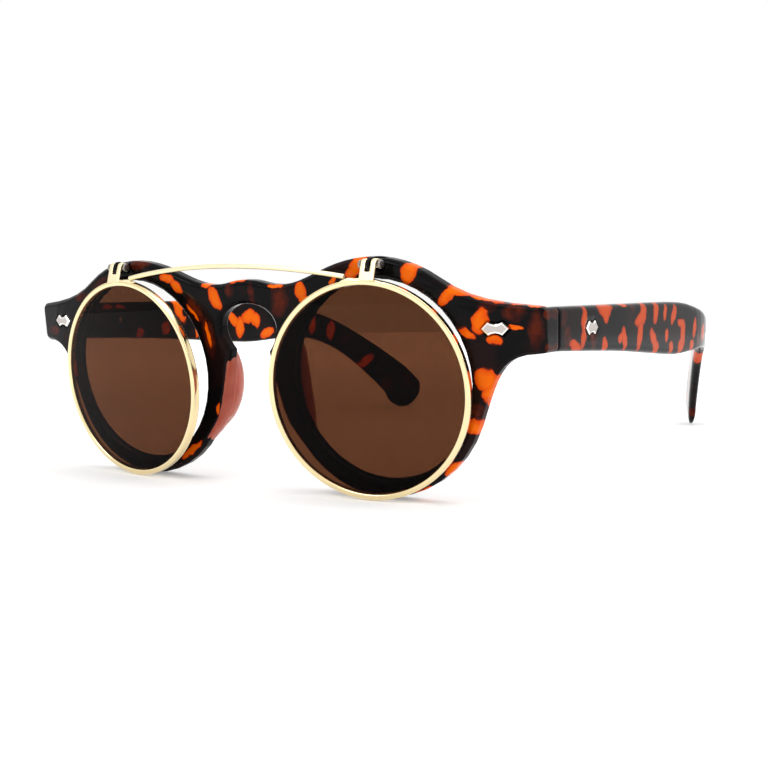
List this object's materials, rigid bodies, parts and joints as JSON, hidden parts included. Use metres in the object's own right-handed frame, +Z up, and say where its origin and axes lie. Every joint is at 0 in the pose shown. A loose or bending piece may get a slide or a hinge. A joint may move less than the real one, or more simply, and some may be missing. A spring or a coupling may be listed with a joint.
{
  "type": "flip-up round sunglasses with folding temples",
  "caption": "Round flip-up sunglasses: tortoiseshell keyhole plastic front, folding temples, gold wire flip-up with brown lenses.",
  "frame": {"origin": "under the middle of the glasses with the temples open, on the surface they stand on", "axes": "+X is the wearer's left, +Y runs from the front back to the ears, +Z is up"},
  "size_m": [0.1416, 0.166, 0.0513],
  "materials": {
    "tortoiseshell": "polished acetate, dark brown with sharp orange patches",
    "red_brown": "translucent red-brown plastic, smooth",
    "clear": "clear plastic lens, polished",
    "brown_tint": "brown tinted lens, polished",
    "gold": "pale gold plating, satin to polished",
    "silver": "satin nickel silver",
    "dark_metal": "black-coated steel, satin"
  },
  "bodies": {
    "front": {"front_frame": "tortoiseshell", "left_clear_lens": "clear", "right_clear_lens": "clear", "left_nose_pad": "red_brown", "right_nose_pad": "red_brown", "left_front_rivet": "silver", "right_front_rivet": "silver", "left_front_hinge_leaf": "dark_metal", "right_front_hinge_leaf": "dark_metal", "left_temple_hinge_screw": "silver", "right_temple_hinge_screw": "silver", "left_flip_hinge_base": "dark_metal", "right_flip_hinge_base": "dark_metal", "left_flip_hinge_pin": "silver", "right_flip_hinge_pin": "silver"},
    "left_temple_body": {"left_temple": "tortoiseshell", "left_temple_hinge_leaf": "dark_metal", "left_temple_rivet": "silver"},
    "right_temple_body": {"right_temple": "tortoiseshell", "right_temple_hinge_leaf": "dark_metal", "right_temple_rivet": "silver"},
    "flip_up": {"left_flip_rim": "gold", "right_flip_rim": "gold", "left_flip_lens": "brown_tint", "right_flip_lens": "brown_tint", "left_flip_saddle": "gold", "right_flip_saddle": "gold", "left_flip_strap": "gold", "right_flip_strap": "gold", "flip_bridge": "gold"}
  },
  "joints": [
    {"name": "left_temple_fold", "type": "hinge", "parent": "front", "child": "left_temple_body", "pos_m": [0.0647, -0.06331, 0.03608], "axis": [0, 0, 1], "range_deg": [0, 88]},
    {"name": "right_temple_fold", "type": "hinge", "parent": "front", "child": "right_temple_body", "pos_m": [-0.0647, -0.06331, 0.03608], "axis": [0, 0, -1], "range_deg": [0, 77]},
    {"name": "flip_up_turn", "type": "hinge", "parent": "front", "child": "flip_up", "pos_m": [0, -0.07777, 0.04948], "axis": [-1, 0, 0], "range_deg": [0, 100]}
  ]
}
